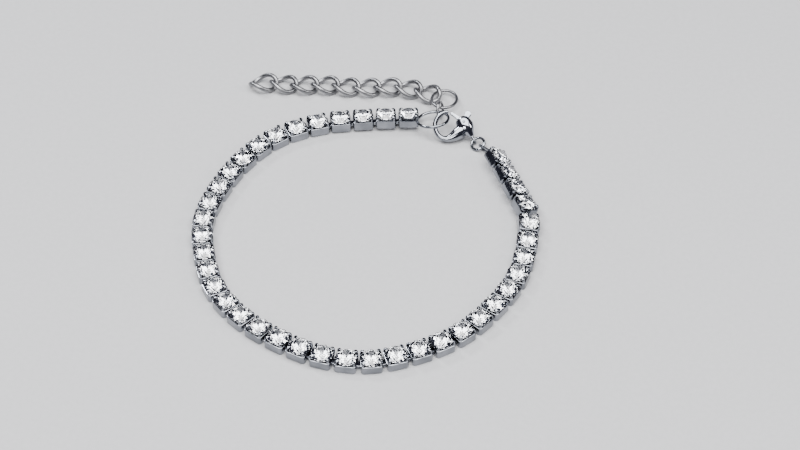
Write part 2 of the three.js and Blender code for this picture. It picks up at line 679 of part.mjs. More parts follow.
function bracelet() {
  const group = new THREE.Group();
  const cups = cupFrames();
  const stone = brilliantGeometry();
  const middle = STONE_COUNT / 2;
  const endLoop = endLoopFrame(cups[0]);
  const rowStart = rowSolid(cups, 0, middle).add(solidFrom(placed(wireLoop(END_LOOP), endLoop)));
  const rowEnd = rowSolid(cups, middle, STONE_COUNT).add(solidFrom(stapleGeometry(cups[STONE_COUNT - 1])));
  group.add(named('settings_row_start', geometryFromSolid(rowStart), STEEL));
  group.add(named('settings_row_end', geometryFromSolid(rowEnd), STEEL));
  cups.forEach((cup, k) => {
    group.add(named(`stone_${String(k + 1).padStart(2, '0')}`, stone, CRYSTAL, cup));
  });
  const clasp = new THREE.Group();
  clasp.applyMatrix4(claspFrame());
  clasp.add(named('clasp_body', claspBodyGeometry(), STEEL));
  clasp.add(named('clasp_lever', leverGeometry(), STEEL));
  group.add(clasp);
  group.add(named('tail_ring', wireLoop(TAIL_RING), STEEL, tailRingFrame(cups[STONE_COUNT - 1])));
  const rings = ringFrames(endLoop);
  group.add(named('extension_ring_small', wireLoop(SMALL_RING), SATIN_STEEL, rings.small));
  group.add(named('extension_ring_large', wireLoop(LARGE_RING), SATIN_STEEL, rings.large));
  const link = wireLoop(CHAIN_LINK);
  chainFrames(rings.large).forEach((place, k) => {
    group.add(named(`extension_link_${k + 1}`, link, SATIN_STEEL, place));
  });
  return group;
}

// The model's origin is the middle of its outline on the floor

function centred(group) {
  group.updateMatrixWorld(true);
  const box = new THREE.Box3().setFromObject(group, true);
  const middle = box.getCenter(new THREE.Vector3());
  group.position.set(-middle.x, -middle.y, -box.min.z);
  return group;
}

export default centred(bracelet());
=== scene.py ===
# Tennis bracelet: finished settings, clasp and chain round the fixed stones, with floor, lights and camera
import json
import math

import bmesh
import bpy
import numpy as np
from mathutils import Matrix, Vector


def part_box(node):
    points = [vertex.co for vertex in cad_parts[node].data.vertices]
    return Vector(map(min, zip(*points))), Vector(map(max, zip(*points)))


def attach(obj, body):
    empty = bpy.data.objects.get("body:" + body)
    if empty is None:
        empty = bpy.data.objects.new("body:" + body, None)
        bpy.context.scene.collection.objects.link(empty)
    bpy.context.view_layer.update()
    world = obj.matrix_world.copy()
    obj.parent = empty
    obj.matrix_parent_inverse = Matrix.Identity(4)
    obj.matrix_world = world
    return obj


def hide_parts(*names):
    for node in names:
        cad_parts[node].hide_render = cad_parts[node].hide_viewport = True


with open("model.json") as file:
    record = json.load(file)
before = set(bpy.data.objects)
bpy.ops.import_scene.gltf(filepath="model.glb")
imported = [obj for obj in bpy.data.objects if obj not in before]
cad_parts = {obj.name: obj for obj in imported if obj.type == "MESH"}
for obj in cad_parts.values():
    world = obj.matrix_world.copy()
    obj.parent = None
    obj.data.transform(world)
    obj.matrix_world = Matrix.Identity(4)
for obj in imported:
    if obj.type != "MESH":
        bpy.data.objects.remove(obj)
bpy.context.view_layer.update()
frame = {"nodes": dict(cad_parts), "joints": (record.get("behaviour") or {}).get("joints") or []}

# Sizes are millimetres here, and metres in the scene
MM = 0.001
UP = Vector((0, 0, 1))

# The row of stones and cups
STONE_COUNT = 40
FIRST_HALF = 20
CULET_HEIGHT = 0.3
CUP_HALF_LENGTH = 1.725
CUP_HALF_WIDTH = 1.75
CUP_CORNER_RADIUS = 0.55
CUP_CORNER_STEPS = 8
CUP_BORE = 1.5

# The corners of a rounded outline: which side they are on, and the angle at which their arc starts
CORNERS = [
    {"x": 1, "y": 1, "start": 0},
    {"x": -1, "y": 1, "start": 90},
    {"x": -1, "y": -1, "start": 180},
    {"x": 1, "y": -1, "start": 270},
]

# A cup's wall from the foot up, as how far it stands in from the outline and how high
CUP_OUTSIDE = [
    {"inset": 0.09, "height": 0.0},
    {"inset": 0.03, "height": 0.02},
    {"inset": 0.0, "height": 0.09},
    {"inset": 0.0, "height": 1.4},
    {"inset": 0.02, "height": 1.47},
    {"inset": 0.07, "height": 1.5},
]
# The same wall's inside from the rim down, as radii
CUP_INSIDE = [
    {"radius": 1.6, "height": 1.5},
    {"radius": 1.54, "height": 1.46},
    {"radius": CUP_BORE, "height": 1.36},
    {"radius": CUP_BORE, "height": 0.12},
    {"radius": 1.55, "height": 0.03},
    {"radius": 1.6, "height": 0.0},
]

# A claw from its root in the cup's corner to its tip on the crown: distance from the stone's axis and
# height of its middle, and half of its width and of its thickness
CLAW_ROWS = [
    {"radius": 1.93, "height": 0.75, "wide": 0.2, "thick": 0.1},
    {"radius": 1.98, "height": 1.1, "wide": 0.25, "thick": 0.12},
    {"radius": 2.03, "height": 1.5, "wide": 0.26, "thick": 0.125},
    {"radius": 2.05, "height": 1.8, "wide": 0.26, "thick": 0.13},
    {"radius": 1.99, "height": 2.02, "wide": 0.26, "thick": 0.13},
    {"radius": 1.83, "height": 2.13, "wide": 0.25, "thick": 0.125},
    {"radius": 1.65, "height": 2.19, "wide": 0.22, "thick": 0.11},
    {"radius": 1.52, "height": 2.25, "wide": 0.16, "thick": 0.09},
    {"radius": 1.45, "height": 2.28, "wide": 0.08, "thick": 0.05},
    {"radius": 1.43, "height": 2.28, "wide": 0.02, "thick": 0.015},
]
CLAW_SIDES = 14
CLAW_STEPS = 3
CLAW_ANGLES = [45, 135, 225, 315]

# Hinges between the cups
HINGE = {"half_width": 0.5, "foot": 0.1, "height": 0.5, "sink": 0.12, "round": 0.08}
HINGE_CLEARANCE = 0.1
HINGE_CORNER_STEPS = 3
PIN = {"radius": 0.17, "half_length": 0.62, "height": 0.35}
PIN_SIDES = 16

# End loop, staple and rings
END_LOOP = {"length": 5.9, "width": 5.5, "wire": 0.5, "sink": 0.2, "height": 1.0, "lean": -0.15}
END_LOOP_AIM = {"u": 0.25, "v": 0.75}
STAPLE = {"gap": 0.85, "wire": 0.38, "height": 0.8}
STAPLE_BEND_STEPS = 9
TAIL_RING = {"length": 2.75, "width": 2.75, "wire": 0.5}
SMALL_RING = {"length": 3.1, "width": 3.1, "wire": 0.5}
LARGE_RING = {"length": 5.8, "width": 4.8, "wire": 0.55}
LINK_PLAY = 0.1
RING_CUT = 0.05

# Extension chain
CHAIN_COUNT = 9
CHAIN_LINK = {"length": 5.3, "width": 4.1, "wire": 0.8, "twist": 45}

# Round wire. It stands a little inside the corners of the fixed six-sided wire, so that it lies on the floor
WIRE_TRIM = 0.02
WIRE_SIDES = 16
LOOP_STEPS = 72

# Lobster clasp in its own plane: u to the right, v up the plane, w out of it
PIVOT = {"u": 2.85, "v": 0.6}
CLAW_HALF = {"u": 1.95, "v": 2.3}
CLAW_WIRE = 0.8
BODY_TOP = {"u": 2.3, "v": 1.5}
BODY_TAIL = {"u": 4.3, "v": -1.95}
BODY_WIDTH = 2.8
BODY_DEPTH = 2.0
EYE = {"length": 1.5, "width": 1.5, "wire": 0.4}
BODY_SIDES = 32
SKIN_STEPS = 5
BODY_VOXEL = 0.07
BODY_SMOOTHING = {"factor": 0.5, "iterations": 8}

# The clasp's lever and the slot that it turns in
LEVER = {"thickness": 0.6, "hub": 0.6, "arm": 0.76, "arm_tip": 0.56, "ear": 0.62, "ear_tip": 1.15}
LEVER_CROTCH_SHARE = 1.05
LEVER_TIP_GAP = 0.12
LEVER_EAR_TIP = {"u": 3.85, "v": 2.45}
LEVER_OPENING = 25
LEVER_BEVEL = {"width": 0.09, "segments": 4, "angle_limit": math.radians(50)}
# How far the arm's round end reaches past a square one
ARM_ROUNDING = 0.16
SLOT_CLEARANCE = 0.1
END_STEPS = 12
HUB_STEPS = 24
BARREL_SIDES = 48

# The clasp's rivet. A head's radius is a share of the rivet's, and its height is measured down from its top
PIN_RADIUS = 0.22
PIN_CLEARANCE = 0.08
RIVET_PROUD = 0.08
RIVET_SIDES = 32
RIVET_HEAD = [
    {"share": 0.4, "down": 0.0},
    {"share": 0.8, "down": 0.03},
    {"share": 1.0, "down": 0.08},
]

# The clasp's claw from its tip to its root: u and v as shares of its half width and half height, wide
# and deep as shares of its wire
CLASP_ROWS = [
    {"u": 0.16, "v": 1.02, "wide": 0.62, "deep": 0.7},
    {"u": -0.2, "v": 0.99, "wide": 0.88, "deep": 0.92},
    {"u": -0.62, "v": 0.77, "wide": 1.0, "deep": 1.0},
    {"u": -0.93, "v": 0.37, "wide": 1.0, "deep": 1.0},
    {"u": -1.0, "v": -0.08, "wide": 1.0, "deep": 1.0},
    {"u": -0.84, "v": -0.54, "wide": 1.02, "deep": 1.05},
    {"u": -0.48, "v": -0.86, "wide": 1.1, "deep": 1.1},
    {"u": 0.0, "v": -0.97, "wide": 1.35, "deep": 1.35},
    {"u": 0.46, "v": -0.84, "wide": 2.0, "deep": 1.75},
    {"u": 0.95, "v": -0.58, "wide": 2.7, "deep": 2.15},
    {"u": 1.4, "v": -0.3, "wide": 2.6, "deep": 2.2},
    {"u": 1.7, "v": -0.16, "wide": 1.7, "deep": 1.8},
    {"u": 1.85, "v": -0.1, "wide": 0.7, "deep": 0.8},
]
# The clasp's body from its top to its tail, as shares of its length, width and depth
BODY_ROWS = [
    {"along": 0.0, "wide": 0.46, "deep": 0.46},
    {"along": 0.12, "wide": 0.84, "deep": 0.8},
    {"along": 0.38, "wide": 1.0, "deep": 1.0},
    {"along": 0.62, "wide": 0.84, "deep": 0.92},
    {"along": 0.82, "wide": 0.5, "deep": 0.64},
    {"along": 1.0, "wide": 0.28, "deep": 0.4},
]

# Camera, measured from the middle of the stones on the floor
CAMERA_FROM_STONES = Vector((5.46, -277.04, 283.94))
CAMERA_DOWN = 45.385
CAMERA_LENS = 110.05
CAMERA_SENSOR = 36.0
CAMERA_NEAR = 0.01

# Finishes. Tones are colours, gloss is a range of roughness, and scales are cycles in a metre
SHARP_ANGLE = math.radians(35)
POLISHED = {
    "tones": [(0.2, 0.21, 0.23), (0.3, 0.31, 0.34)],
    "gloss": [0.06, 0.16],
    "grain": 2600,
    "strength": 0.12,
    "stretch": (1, 1, 1),
}
SATIN = {
    "tones": [(0.2, 0.2, 0.21), (0.29, 0.29, 0.3)],
    "gloss": [0.28, 0.42],
    "grain": 5200,
    "strength": 0.3,
    "stretch": (1, 0.35, 1),
}
STEEL_TONE = {"scale": 350, "detail": 3}
STEEL_GRAIN_DETAIL = 6
STEEL_GRAIN_DEPTH = 0.00001
CRYSTAL = {
    "refraction": 2.15,
    "tones": [(0.93, 0.95, 1.0), (0.98, 0.985, 1.0)],
    "gloss": [0.0, 0.012],
    "haze": {"scale": 900, "detail": 4},
}
FLOOR = {
    "size": 3,
    "tones": [(0.43, 0.43, 0.44), (0.45, 0.45, 0.46)],
    "grain": {"scale": 1200, "detail": 4},
    "roughness": 0.6,
}
# The part of the noise's range that is spread out, for numbers and for colours
NOISE_RANGE = [0.3, 0.7]
TONE_RANGE = [0.35, 0.65]

# Lights. Places, aims and sizes are metres, and power is watts
SKY = {"colour": (0.42, 0.45, 0.62, 1), "strength": 0.13}
LIGHTS = {
    "overhead": {
        "place": (0.02, -0.08, 0.5),
        "aim": (0.02, -0.06, 0),
        "size": (0.6, 0.44),
        "power": 8,
        "colour": (1, 1, 1),
    },
    "key": {
        "place": (-0.32, 0.3, 0.42),
        "aim": (0, 0, 0),
        "size": (0.14, 0.1),
        "power": 2.2,
        "colour": (0.95, 0.97, 1),
    },
    "side": {
        "place": (0.5, -0.1, 0.35),
        "aim": (0, 0, 0),
        "size": (0.08, 0.2),
        "power": 1.4,
        "colour": (1, 0.98, 0.96),
    },
    "front": {
        "place": (-0.16, -0.55, 0.42),
        "aim": (0, 0, 0),
        "size": (0.2, 0.12),
        "power": 1.3,
        "colour": (1, 1, 1),
    },
}


# Points and frames


def turned(vector, axis, degrees):
    """The vector turned about an axis by the right-hand rule."""
    return Matrix.Rotation(math.radians(degrees), 3, axis) @ vector


def frame_of(place, along, up):
    """A frame at a place, with x along one direction and z as near as can be to another."""
    x = along.normalized()
    y = up.cross(x).normalized()
    z = x.cross(y)
    rows = Matrix((x, y, z)).transposed().to_4x4()
    rows.translation = place
    return rows


def points_of(node):
    """A fixed node's corners, each once, in millimetres."""
    corners = {tuple(round(c / MM, 4) for c in v.co) for v in frame["nodes"][node].data.vertices}
    return np.array(sorted(corners))


def stone_axis(node):
    """The place on the axis where a stone's cup stands, and the axis out through the table."""
    points = points_of(node)
    centre = points.mean(0)
    axis = np.linalg.svd(points - centre)[2][2]
    heights = (points - centre) @ axis
    if abs(heights.min()) < abs(heights.max()):
        axis = -axis
        heights = -heights
    culet = points[int(np.argmin(heights))]
    up = Vector(axis).normalized()
    return Vector(culet) - CULET_HEIGHT * up, up


def cup_frames():
    """One frame for each cup: its foot, x along the row, and z out through the table."""
    axes = [stone_axis(f"stone_{k + 1:02d}") for k in range(STONE_COUNT)]
    frames = []
    for k, (foot, up) in enumerate(axes):
        before = axes[max(0, k - 1)][0]
        after = axes[min(STONE_COUNT - 1, k + 1)][0]
        rough = (after - before).normalized()
        points = [Vector(p) - foot for p in points_of(f"stone_{k + 1:02d}")]
        table_height = max(p.dot(up) for p in points)
        spokes = [p - up * p.dot(up) for p in points if p.dot(up) > table_height - MM]
        along = max(spokes, key=lambda spoke: spoke.normalized().dot(rough))
        frames.append(frame_of(foot, along, up))
    return frames


def loop_frame(node):
    """The frame of a ring or link from its node: x along its length, z out of its plane."""
    points = points_of(node)
    centre = points.mean(0)
    axes = np.linalg.svd(points - centre)[2]
    return frame_of(Vector(centre), Vector(axes[0]), Vector(axes[2]))


def clasp_frame():
    """The clasp's frame, from the pivot that the record gives."""
    joint = frame["joints"][0]
    pivot = Vector(joint["pos_m"]) / MM
    outward = -Vector(joint["axis"]).normalized()
    right = Vector((1, 0, 0))
    upward = outward.cross(right).normalized()
    rows = Matrix((right, upward, outward)).transposed().to_4x4()
    rows.translation = pivot - right * PIVOT["u"] - upward * PIVOT["v"]
    return rows


# Skins made of rings of points


class Skin:
    """Points and faces of one piece, in millimetres."""

    def __init__(self):
        self.points = []
        self.faces = []

    def ring(self, points):
        start = len(self.points)
        self.points.extend(points)
        return list(range(start, len(self.points)))

    def band(self, lower, upper):
        count = len(lower)
        for side in range(count):
            turn = (side + 1) % count
            self.faces.append((lower[side], lower[turn], upper[turn], upper[side]))

    def loft(self, rings, closed=False):
        """Skin over rings of points, closed on itself or by a cap on each end."""
        indices = [self.ring(points) for points in rings]
        for lower, upper in zip(indices, indices[1:]):
            self.band(lower, upper)
        if closed:
            self.band(indices[-1], indices[0])
        else:
            self.faces.append(tuple(reversed(indices[0])))
            self.faces.append(tuple(indices[-1]))

    def placed(self, other, matrix):
        """Adds another skin's points, moved by a matrix."""
        start = len(self.points)
        self.points.extend(matrix @ point for point in other.points)
        self.faces.extend(tuple(start + index for index in face) for face in other.faces)

    def mesh(self, name, scale=MM):
        mesh = bpy.data.meshes.new(name)
        mesh.from_pydata([point * scale for point in self.points], [], self.faces)
        corrected = bmesh.new()
        corrected.from_mesh(mesh)
        bmesh.ops.recalc_face_normals(corrected, faces=corrected.faces)
        corrected.to_mesh(mesh)
        corrected.free()
        return mesh


def spaced(rows, steps):
    """Rows of named numbers with steps more between each pair, on a smooth curve."""
    keys = list(rows[0])
    table = [[row[key] for key in keys] for row in rows]
    made = []
    for k in range(len(rows) - 1):
        around = [table[max(0, k - 1)], table[k], table[k + 1], table[min(len(rows) - 1, k + 2)]]
        for step in range(steps):
            made.append(dict(zip(keys, curve_point(*around, step / steps))))
    made.append(dict(rows[-1]))
    return made


def curve_point(before, start, end, after, share):
    """A point between start and end on a Catmull-Rom curve."""
    square = share * share
    cube = square * share
    point = []
    for a, b, c, d in zip(before, start, end, after):
        squared = (2 * a - 5 * b + 4 * c - d) * square
        cubed = (3 * b - a - 3 * c + d) * cube
        point.append(0.5 * (2 * b + (c - a) * share + squared + cubed))
    return point


def oval(centre, across, deep, half_wide, half_deep, sides):
    """An oval ring of points round a centre."""
    angles = [2 * math.pi * (side + 0.5) / sides for side in range(sides)]
    return [centre + across * (half_wide * math.cos(a)) + deep * (half_deep * math.sin(a)) for a in angles]


def carried(directions, start):
    """Side directions carried along a path with no twist."""
    sides = [start]
    for before, after in zip(directions, directions[1:]):
        turn = before.rotation_difference(after)
        sides.append((turn @ sides[-1]).normalized())
    return sides


def tube(centres, radius, sides=WIRE_SIDES, closed=False):
    """A round tube along a path of points."""
    skin = Skin()
    count = len(centres)
    if closed:
        directions = [(centres[(k + 1) % count] - centres[k - 1]).normalized() for k in range(count)]
        directions.append(directions[0])
    else:
        ends = [centres[0]] + centres + [centres[-1]]
        directions = [(ends[k + 2] - ends[k]).normalized() for k in range(count)]
    across = carried(directions, directions[0].orthogonal().normalized())
    if closed:
        last = across.pop()
        directions.pop()
        angle = math.atan2(last.cross(across[0]).dot(directions[0]), last.dot(across[0]))
    else:
        angle = 0.0
    rings = []
    for k, (centre, direction, side) in enumerate(zip(centres, directions, across)):
        side = turned(side, direction, math.degrees(angle) * k / count)
        rings.append(oval(centre, side, direction.cross(side), radius, radius, sides))
    skin.loft(rings, closed)
    return skin


def oval_path(size, cut=0.0):
    """A ring's or a twisted link's centreline. A cut leaves that much of it open, at half a turn."""
    half_length = (size["length"] - size["wire"]) / 2
    half_width = (size["width"] - size["wire"]) / 2
    twist = math.radians(size.get("twist", 0))
    gap = cut / (2 * half_length)
    count = LOOP_STEPS + 1 if cut else LOOP_STEPS
    points = []
    for k in range(count):
        turn = math.pi + gap + (2 * math.pi - 2 * gap) * k / LOOP_STEPS
        lean = twist * math.cos(turn)
        side = half_width * math.sin(turn)
        points.append(Vector((half_length * math.cos(turn), side * math.cos(lean), side * math.sin(lean))))
    return points


def moved(points, matrix):
    """The points moved by a matrix."""
    return [matrix @ point for point in points]


# Pieces and their finish


def piece(name, mesh, finish, slot, body, *nodes):
    """A smooth shown piece that rides on a body and stands for fixed nodes."""
    made = bpy.data.objects.new(name, mesh)
    bpy.context.scene.collection.objects.link(made)
    mesh.materials.append(finish)
    mesh.shade_smooth()
    mesh.set_sharp_from_angle(angle=SHARP_ANGLE)
    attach(made, body)
    if nodes:
        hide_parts(*nodes)
    return made


def modified(mesh, *modifiers):
    """The mesh with modifiers applied, each given as its type and its values."""
    holder = bpy.data.objects.new("holder", mesh)
    bpy.context.scene.collection.objects.link(holder)
    for kind, values in modifiers:
        modifier = holder.modifiers.new(kind, kind)
        for key, value in values.items():
            setattr(modifier, key, value)
    bpy.context.view_layer.update()
    graph = bpy.context.evaluated_depsgraph_get()
    result = bpy.data.meshes.new_from_object(holder.evaluated_get(graph))
    bpy.data.objects.remove(holder)
    return result


def new_material(name):
    """A material with its nodes, links and shader."""
    material = bpy.data.materials.new(name)
    material.use_nodes = True
    nodes = material.node_tree.nodes
    links = material.node_tree.links
    return material, nodes, links, nodes["Principled BSDF"]


def noise(nodes, links, scale, detail, stretch=(1, 1, 1)):
    """Noise over the object's own places, in metres, stretched along the axes."""
    place = nodes.new("ShaderNodeTexCoord")
    mapping = nodes.new("ShaderNodeMapping")
    mapping.inputs["Scale"].default_value = stretch
    texture = nodes.new("ShaderNodeTexNoise")
    texture.inputs["Scale"].default_value = scale
    texture.inputs["Detail"].default_value = detail
    links.new(place.outputs["Object"], mapping.inputs["Vector"])
    links.new(mapping.outputs["Vector"], texture.inputs["Vector"])
    return texture.outputs["Fac"]


def ranged(nodes, links, value, limits):
    """A noise value spread between two numbers."""
    spread = nodes.new("ShaderNodeMapRange")
    spread.inputs["From Min"].default_value, spread.inputs["From Max"].default_value = NOISE_RANGE
    spread.inputs["To Min"].default_value, spread.inputs["To Max"].default_value = limits
    links.new(value, spread.inputs["Value"])
    return spread.outputs["Result"]


def blended(nodes, links, value, tones):
    """A colour between two, by a value."""
    ramp = nodes.new("ShaderNodeValToRGB")
    for element, position, tone in zip(ramp.color_ramp.elements, TONE_RANGE, tones):
        element.position = position
        element.color = (*tone, 1)
    links.new(value, ramp.inputs["Fac"])
    return ramp.outputs["Color"]


def bumped(nodes, links, value, strength, distance):
    """Normals that a value raises and lowers."""
    bump = nodes.new("ShaderNodeBump")
    bump.inputs["Strength"].default_value = strength
    bump.inputs["Distance"].default_value = distance
    links.new(value, bump.inputs["Height"])
    return bump.outputs["Normal"]


def steel(name, look):
    """Steel whose tone, gloss and fine grain vary over the surface."""
    material, nodes, links, shader = new_material(name)
    shader.inputs["Metallic"].default_value = 1.0
    broad = noise(nodes, links, **STEEL_TONE)
    fine = noise(nodes, links, look["grain"], STEEL_GRAIN_DETAIL, look["stretch"])
    links.new(blended(nodes, links, broad, look["tones"]), shader.inputs["Base Color"])
    links.new(ranged(nodes, links, fine, look["gloss"]), shader.inputs["Roughness"])
    normals = bumped(nodes, links, fine, look["strength"], STEEL_GRAIN_DEPTH)
    links.new(normals, shader.inputs["Normal"])
    return material


def crystal():
    """Clear, highly refracting stone with a faint polish haze."""
    material, nodes, links, shader = new_material("cut_crystal")
    shader.inputs["IOR"].default_value = CRYSTAL["refraction"]
    shader.inputs["Transmission Weight"].default_value = 1.0
    haze = noise(nodes, links, **CRYSTAL["haze"])
    links.new(blended(nodes, links, haze, CRYSTAL["tones"]), shader.inputs["Base Color"])
    links.new(ranged(nodes, links, haze, CRYSTAL["gloss"]), shader.inputs["Roughness"])
    return material


# Settings


def rounded_square():
    """A cup's outline with round corners, as points and the directions in which it shrinks."""
    points = []
    for corner in CORNERS:
        centre_x = corner["x"] * (CUP_HALF_LENGTH - CUP_CORNER_RADIUS)
        centre_y = corner["y"] * (CUP_HALF_WIDTH - CUP_CORNER_RADIUS)
        for step in range(CUP_CORNER_STEPS + 1):
            angle = math.radians(corner["start"] + 90 * step / CUP_CORNER_STEPS)
            outward = Vector((math.cos(angle), math.sin(angle), 0))
            points.append((Vector((centre_x, centre_y, 0)) + CUP_CORNER_RADIUS * outward, outward))
    return points


def cup_wall():
    """A square cup's wall round its round bore."""
    outline = rounded_square()
    rings = []
    for row in CUP_OUTSIDE:
        rings.append([point - outward * row["inset"] + UP * row["height"] for point, outward in outline])
    for row in CUP_INSIDE:
        rings.append([point.normalized() * row["radius"] + UP * row["height"] for point, _ in outline])
    skin = Skin()
    skin.loft(rings, closed=True)
    return skin


def claw(degrees):
    """One claw of a cup, drop-shaped, bent over the stone's edge at that angle."""
    outward = Vector((math.cos(math.radians(degrees)), math.sin(math.radians(degrees)), 0))
    sideways = UP.cross(outward)
    rows = spaced(CLAW_ROWS, CLAW_STEPS)
    centres = [outward * row["radius"] + UP * row["height"] for row in rows]
    ends = [centres[0]] + centres + [centres[-1]]
    rings = []
    for k, row in enumerate(rows):
        direction = (ends[k + 2] - ends[k]).normalized()
        back = sideways.cross(direction)
        rings.append(oval(centres[k], sideways, back, row["wide"], row["thick"], CLAW_SIDES))
    skin = Skin()
    skin.loft(rings)
    return skin


def cup():
    """A square cup with a claw on each corner."""
    skin = cup_wall()
    for degrees in CLAW_ANGLES:
        skin.placed(claw(degrees), Matrix.Identity(4))
    return skin


def hinge_outline(matrix, x):
    """The rounded outline of a hinge's tongue where it enters a cup."""
    half = HINGE["half_width"] - HINGE["round"]
    middle = HINGE["foot"] + HINGE["height"] / 2
    rise = HINGE["height"] / 2 - HINGE["round"]
    points = []
    for corner in CORNERS:
        for step in range(HINGE_CORNER_STEPS + 1):
            angle = math.radians(corner["start"] + 90 * step / HINGE_CORNER_STEPS)
            y = corner["x"] * half + HINGE["round"] * math.cos(angle)
            z = middle + corner["y"] * rise + HINGE["round"] * math.sin(angle)
            points.append(matrix @ Vector((x, y, z)))
    return points


def hinge(before, after, from_x):
    """The tongue between two cups and the pin that it turns on."""
    skin = Skin()
    to_x = HINGE["sink"] - CUP_HALF_LENGTH
    skin.loft([hinge_outline(before, from_x), hinge_outline(after, to_x)])
    near = before @ Vector((CUP_HALF_LENGTH, 0, PIN["height"]))
    far = after @ Vector((-CUP_HALF_LENGTH, 0, PIN["height"]))
    middle = near.lerp(far, 0.5)
    sideways = (before.to_3x3() @ Vector((0, 1, 0)) + after.to_3x3() @ Vector((0, 1, 0))).normalized()
    reach = sideways * PIN["half_length"]
    skin.placed(tube([middle - reach, middle + reach], PIN["radius"], PIN_SIDES), Matrix.Identity(4))
    return skin


def settings(cups, first, last):
    """The cups from first to last, and the hinges that lead to them.

    The first hinge of the second half starts clear of the last cup of the first half.
    """
    skin = Skin()
    one = cup()
    sunk = CUP_HALF_LENGTH - HINGE["sink"]
    clear = CUP_HALF_LENGTH + HINGE_CLEARANCE
    for k in range(first, last):
        skin.placed(one, cups[k])
        if k > 0:
            from_x = clear if k == first else sunk
            skin.placed(hinge(cups[k - 1], cups[k], from_x), Matrix.Identity(4))
    return skin


def end_loop(first_cup, clasp):
    """The wire loop soldered to the first cup, which the clasp hooks into."""
    start = first_cup @ Vector((END_LOOP["sink"] - CUP_HALF_LENGTH, 0, END_LOOP["height"]))
    aim = clasp @ Vector((END_LOOP_AIM["u"], END_LOOP_AIM["v"], 0))
    along = (aim - start).normalized()
    place = frame_of(start + along * (END_LOOP["length"] / 2), along, Vector((0, -END_LOOP["lean"], 1)))
    return tube(moved(oval_path(END_LOOP), place), END_LOOP["wire"] / 2, closed=True)


def eye_centre():
    """The middle of the eye at the clasp's tail, in the clasp's frame."""
    reach = (EYE["length"] - EYE["wire"]) / 2
    return Vector((BODY_TAIL["u"], BODY_TAIL["v"], 0)) + body_axis().normalized() * reach


def tail_frame(last_cup, clasp):
    """The tail ring's frame: x from the clasp's eye towards the last cup."""
    eye = clasp @ eye_centre()
    cup_end = last_cup @ Vector((CUP_HALF_LENGTH, 0, STAPLE["height"]))
    towards = cup_end - eye
    towards.z = 0
    towards.normalize()
    middle = loop_frame("tail_ring")
    normal = middle.to_3x3() @ UP
    if normal.z < 0:
        normal = -normal
    return frame_of(middle.translation, towards, normal)


def staple(last_cup, clasp):
    """The bent wire soldered to the last cup, through the tail ring."""
    ring = tail_frame(last_cup, clasp)
    held = ring @ Vector(((TAIL_RING["length"] - TAIL_RING["wire"]) / 2, 0, 0))
    root = last_cup @ Vector((CUP_HALF_LENGTH - HINGE["sink"], 0, STAPLE["height"]))
    inward = (root - held).normalized()
    bend = held - inward * ((TAIL_RING["wire"] + STAPLE["wire"]) / 2 + LINK_PLAY)
    half = (STAPLE["gap"] + STAPLE["wire"]) / 2
    spread = (ring.to_3x3() @ Vector((0, 1, 0))).cross(inward).normalized()
    centres = [root + spread * half]
    for step in range(STAPLE_BEND_STEPS + 1):
        angle = math.pi * (0.5 - step / STAPLE_BEND_STEPS)
        centres.append(bend + inward * (half * (1 - math.cos(angle))) + spread * (half * math.sin(angle)))
    centres.append(root - spread * half)
    return tube(centres, STAPLE["wire"] / 2)


# Clasp


def body_axis():
    """From the top of the clasp's body to its tail."""
    return Vector((BODY_TAIL["u"] - BODY_TOP["u"], BODY_TAIL["v"] - BODY_TOP["v"], 0))


def pivot_point():
    """The middle of the lever's pivot."""
    return Vector((PIVOT["u"], PIVOT["v"], 0))


def clasp_claw():
    """The claw from its tip round to its root in the body."""
    rows = spaced(CLASP_ROWS, SKIN_STEPS)
    centres = [Vector((row["u"] * CLAW_HALF["u"], row["v"] * CLAW_HALF["v"], 0)) for row in rows]
    ends = [centres[0]] + centres + [centres[-1]]
    rings = []
    for k, row in enumerate(rows):
        direction = (ends[k + 2] - ends[k]).normalized()
        across = direction.cross(UP)
        wide = row["wide"] * CLAW_WIRE / 2
        deep = row["deep"] * CLAW_WIRE / 2
        rings.append(oval(centres[k], across, UP, wide, deep, BODY_SIDES))
    skin = Skin()
    skin.loft(rings)
    return skin


def clasp_trunk():
    """The body without its claw and eye."""
    rows = spaced(BODY_ROWS, SKIN_STEPS)
    top = Vector((BODY_TOP["u"], BODY_TOP["v"], 0))
    across = body_axis().normalized().cross(UP)
    rings = []
    for row in rows:
        centre = top + body_axis() * row["along"]
        wide = row["wide"] * BODY_WIDTH / 2
        deep = row["deep"] * BODY_DEPTH / 2
        rings.append(oval(centre, across, UP, wide, deep, BODY_SIDES))
    skin = Skin()
    skin.loft(rings)
    return skin


def clasp_eye():
    """The ring at the clasp's tail."""
    across = Vector((-body_axis().y, body_axis().x, 0))
    place = frame_of(eye_centre(), body_axis(), across)
    return tube(moved(oval_path(EYE), place), EYE["wire"] / 2, closed=True)


def slab(outline, thickness):
    """A flat plate of that outline, given from the pivot, centred on the clasp's plane."""
    low = [pivot_point() + Vector((x, y, -thickness / 2)) for x, y in outline]
    high = [pivot_point() + Vector((x, y, thickness / 2)) for x, y in outline]
    skin = Skin()
    skin.loft([low, high])
    return skin


def barrel(radius, length):
    """A round bar on the lever's pivot."""
    half = UP * (length / 2)
    return tube([pivot_point() - half, pivot_point() + half], radius, BARREL_SIDES)


def lever_arms():
    """The lever's arm and ear as vectors from its pivot."""
    claw_tip = Vector((CLASP_ROWS[0]["u"] * CLAW_HALF["u"], CLASP_ROWS[0]["v"] * CLAW_HALF["v"]))
    pivot = Vector((PIVOT["u"], PIVOT["v"]))
    arm = claw_tip - pivot
    arm = arm.normalized() * (arm.length - LEVER_TIP_GAP - LEVER["arm_tip"] / 2)
    arm.x += LEVER_TIP_GAP
    return arm, Vector((LEVER_EAR_TIP["u"], LEVER_EAR_TIP["v"])) - pivot


def side_of(vector, distance):
    """A step to a vector's right, in the clasp's plane."""
    return Vector((vector.y, -vector.x)).normalized() * distance


